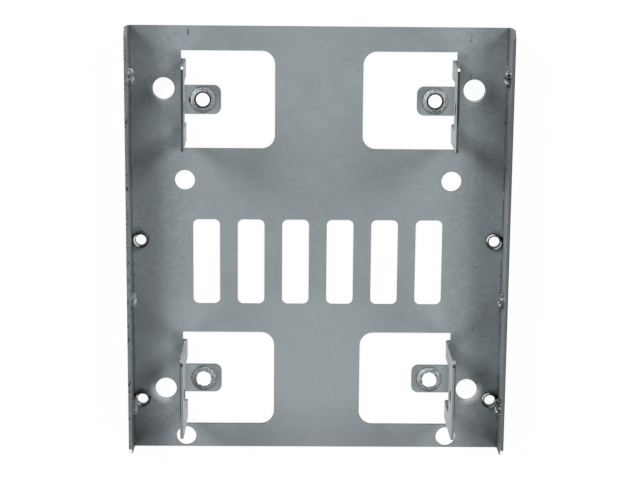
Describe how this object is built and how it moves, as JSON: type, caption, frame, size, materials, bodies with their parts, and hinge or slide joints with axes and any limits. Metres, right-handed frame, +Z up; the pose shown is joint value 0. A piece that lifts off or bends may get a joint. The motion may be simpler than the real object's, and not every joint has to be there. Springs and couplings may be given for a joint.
{
  "type": "drive bay adapter bracket",
  "caption": "Folded sheet steel bracket that carries small drives in a larger drive bay, with side flanges, folded inner flaps, screw tabs, windows and a row of slots.",
  "frame": {"origin": "middle of the plate's flat underside, which is also the middle of the bounding box's bottom", "axes": "+X across the bay, from flange to flange; +Y along the drive, towards the end with the wider margin before the slots; +Z up, the way flanges and flaps are folded"},
  "size_m": [0.1016, 0.1156, 0.022],
  "materials": {
    "zinc_steel": "zinc plated cold rolled steel, dull blue grey, faint rolling lines"
  },
  "bodies": {
    "root": {"bracket": "zinc_steel"}
  },
  "joints": []
}
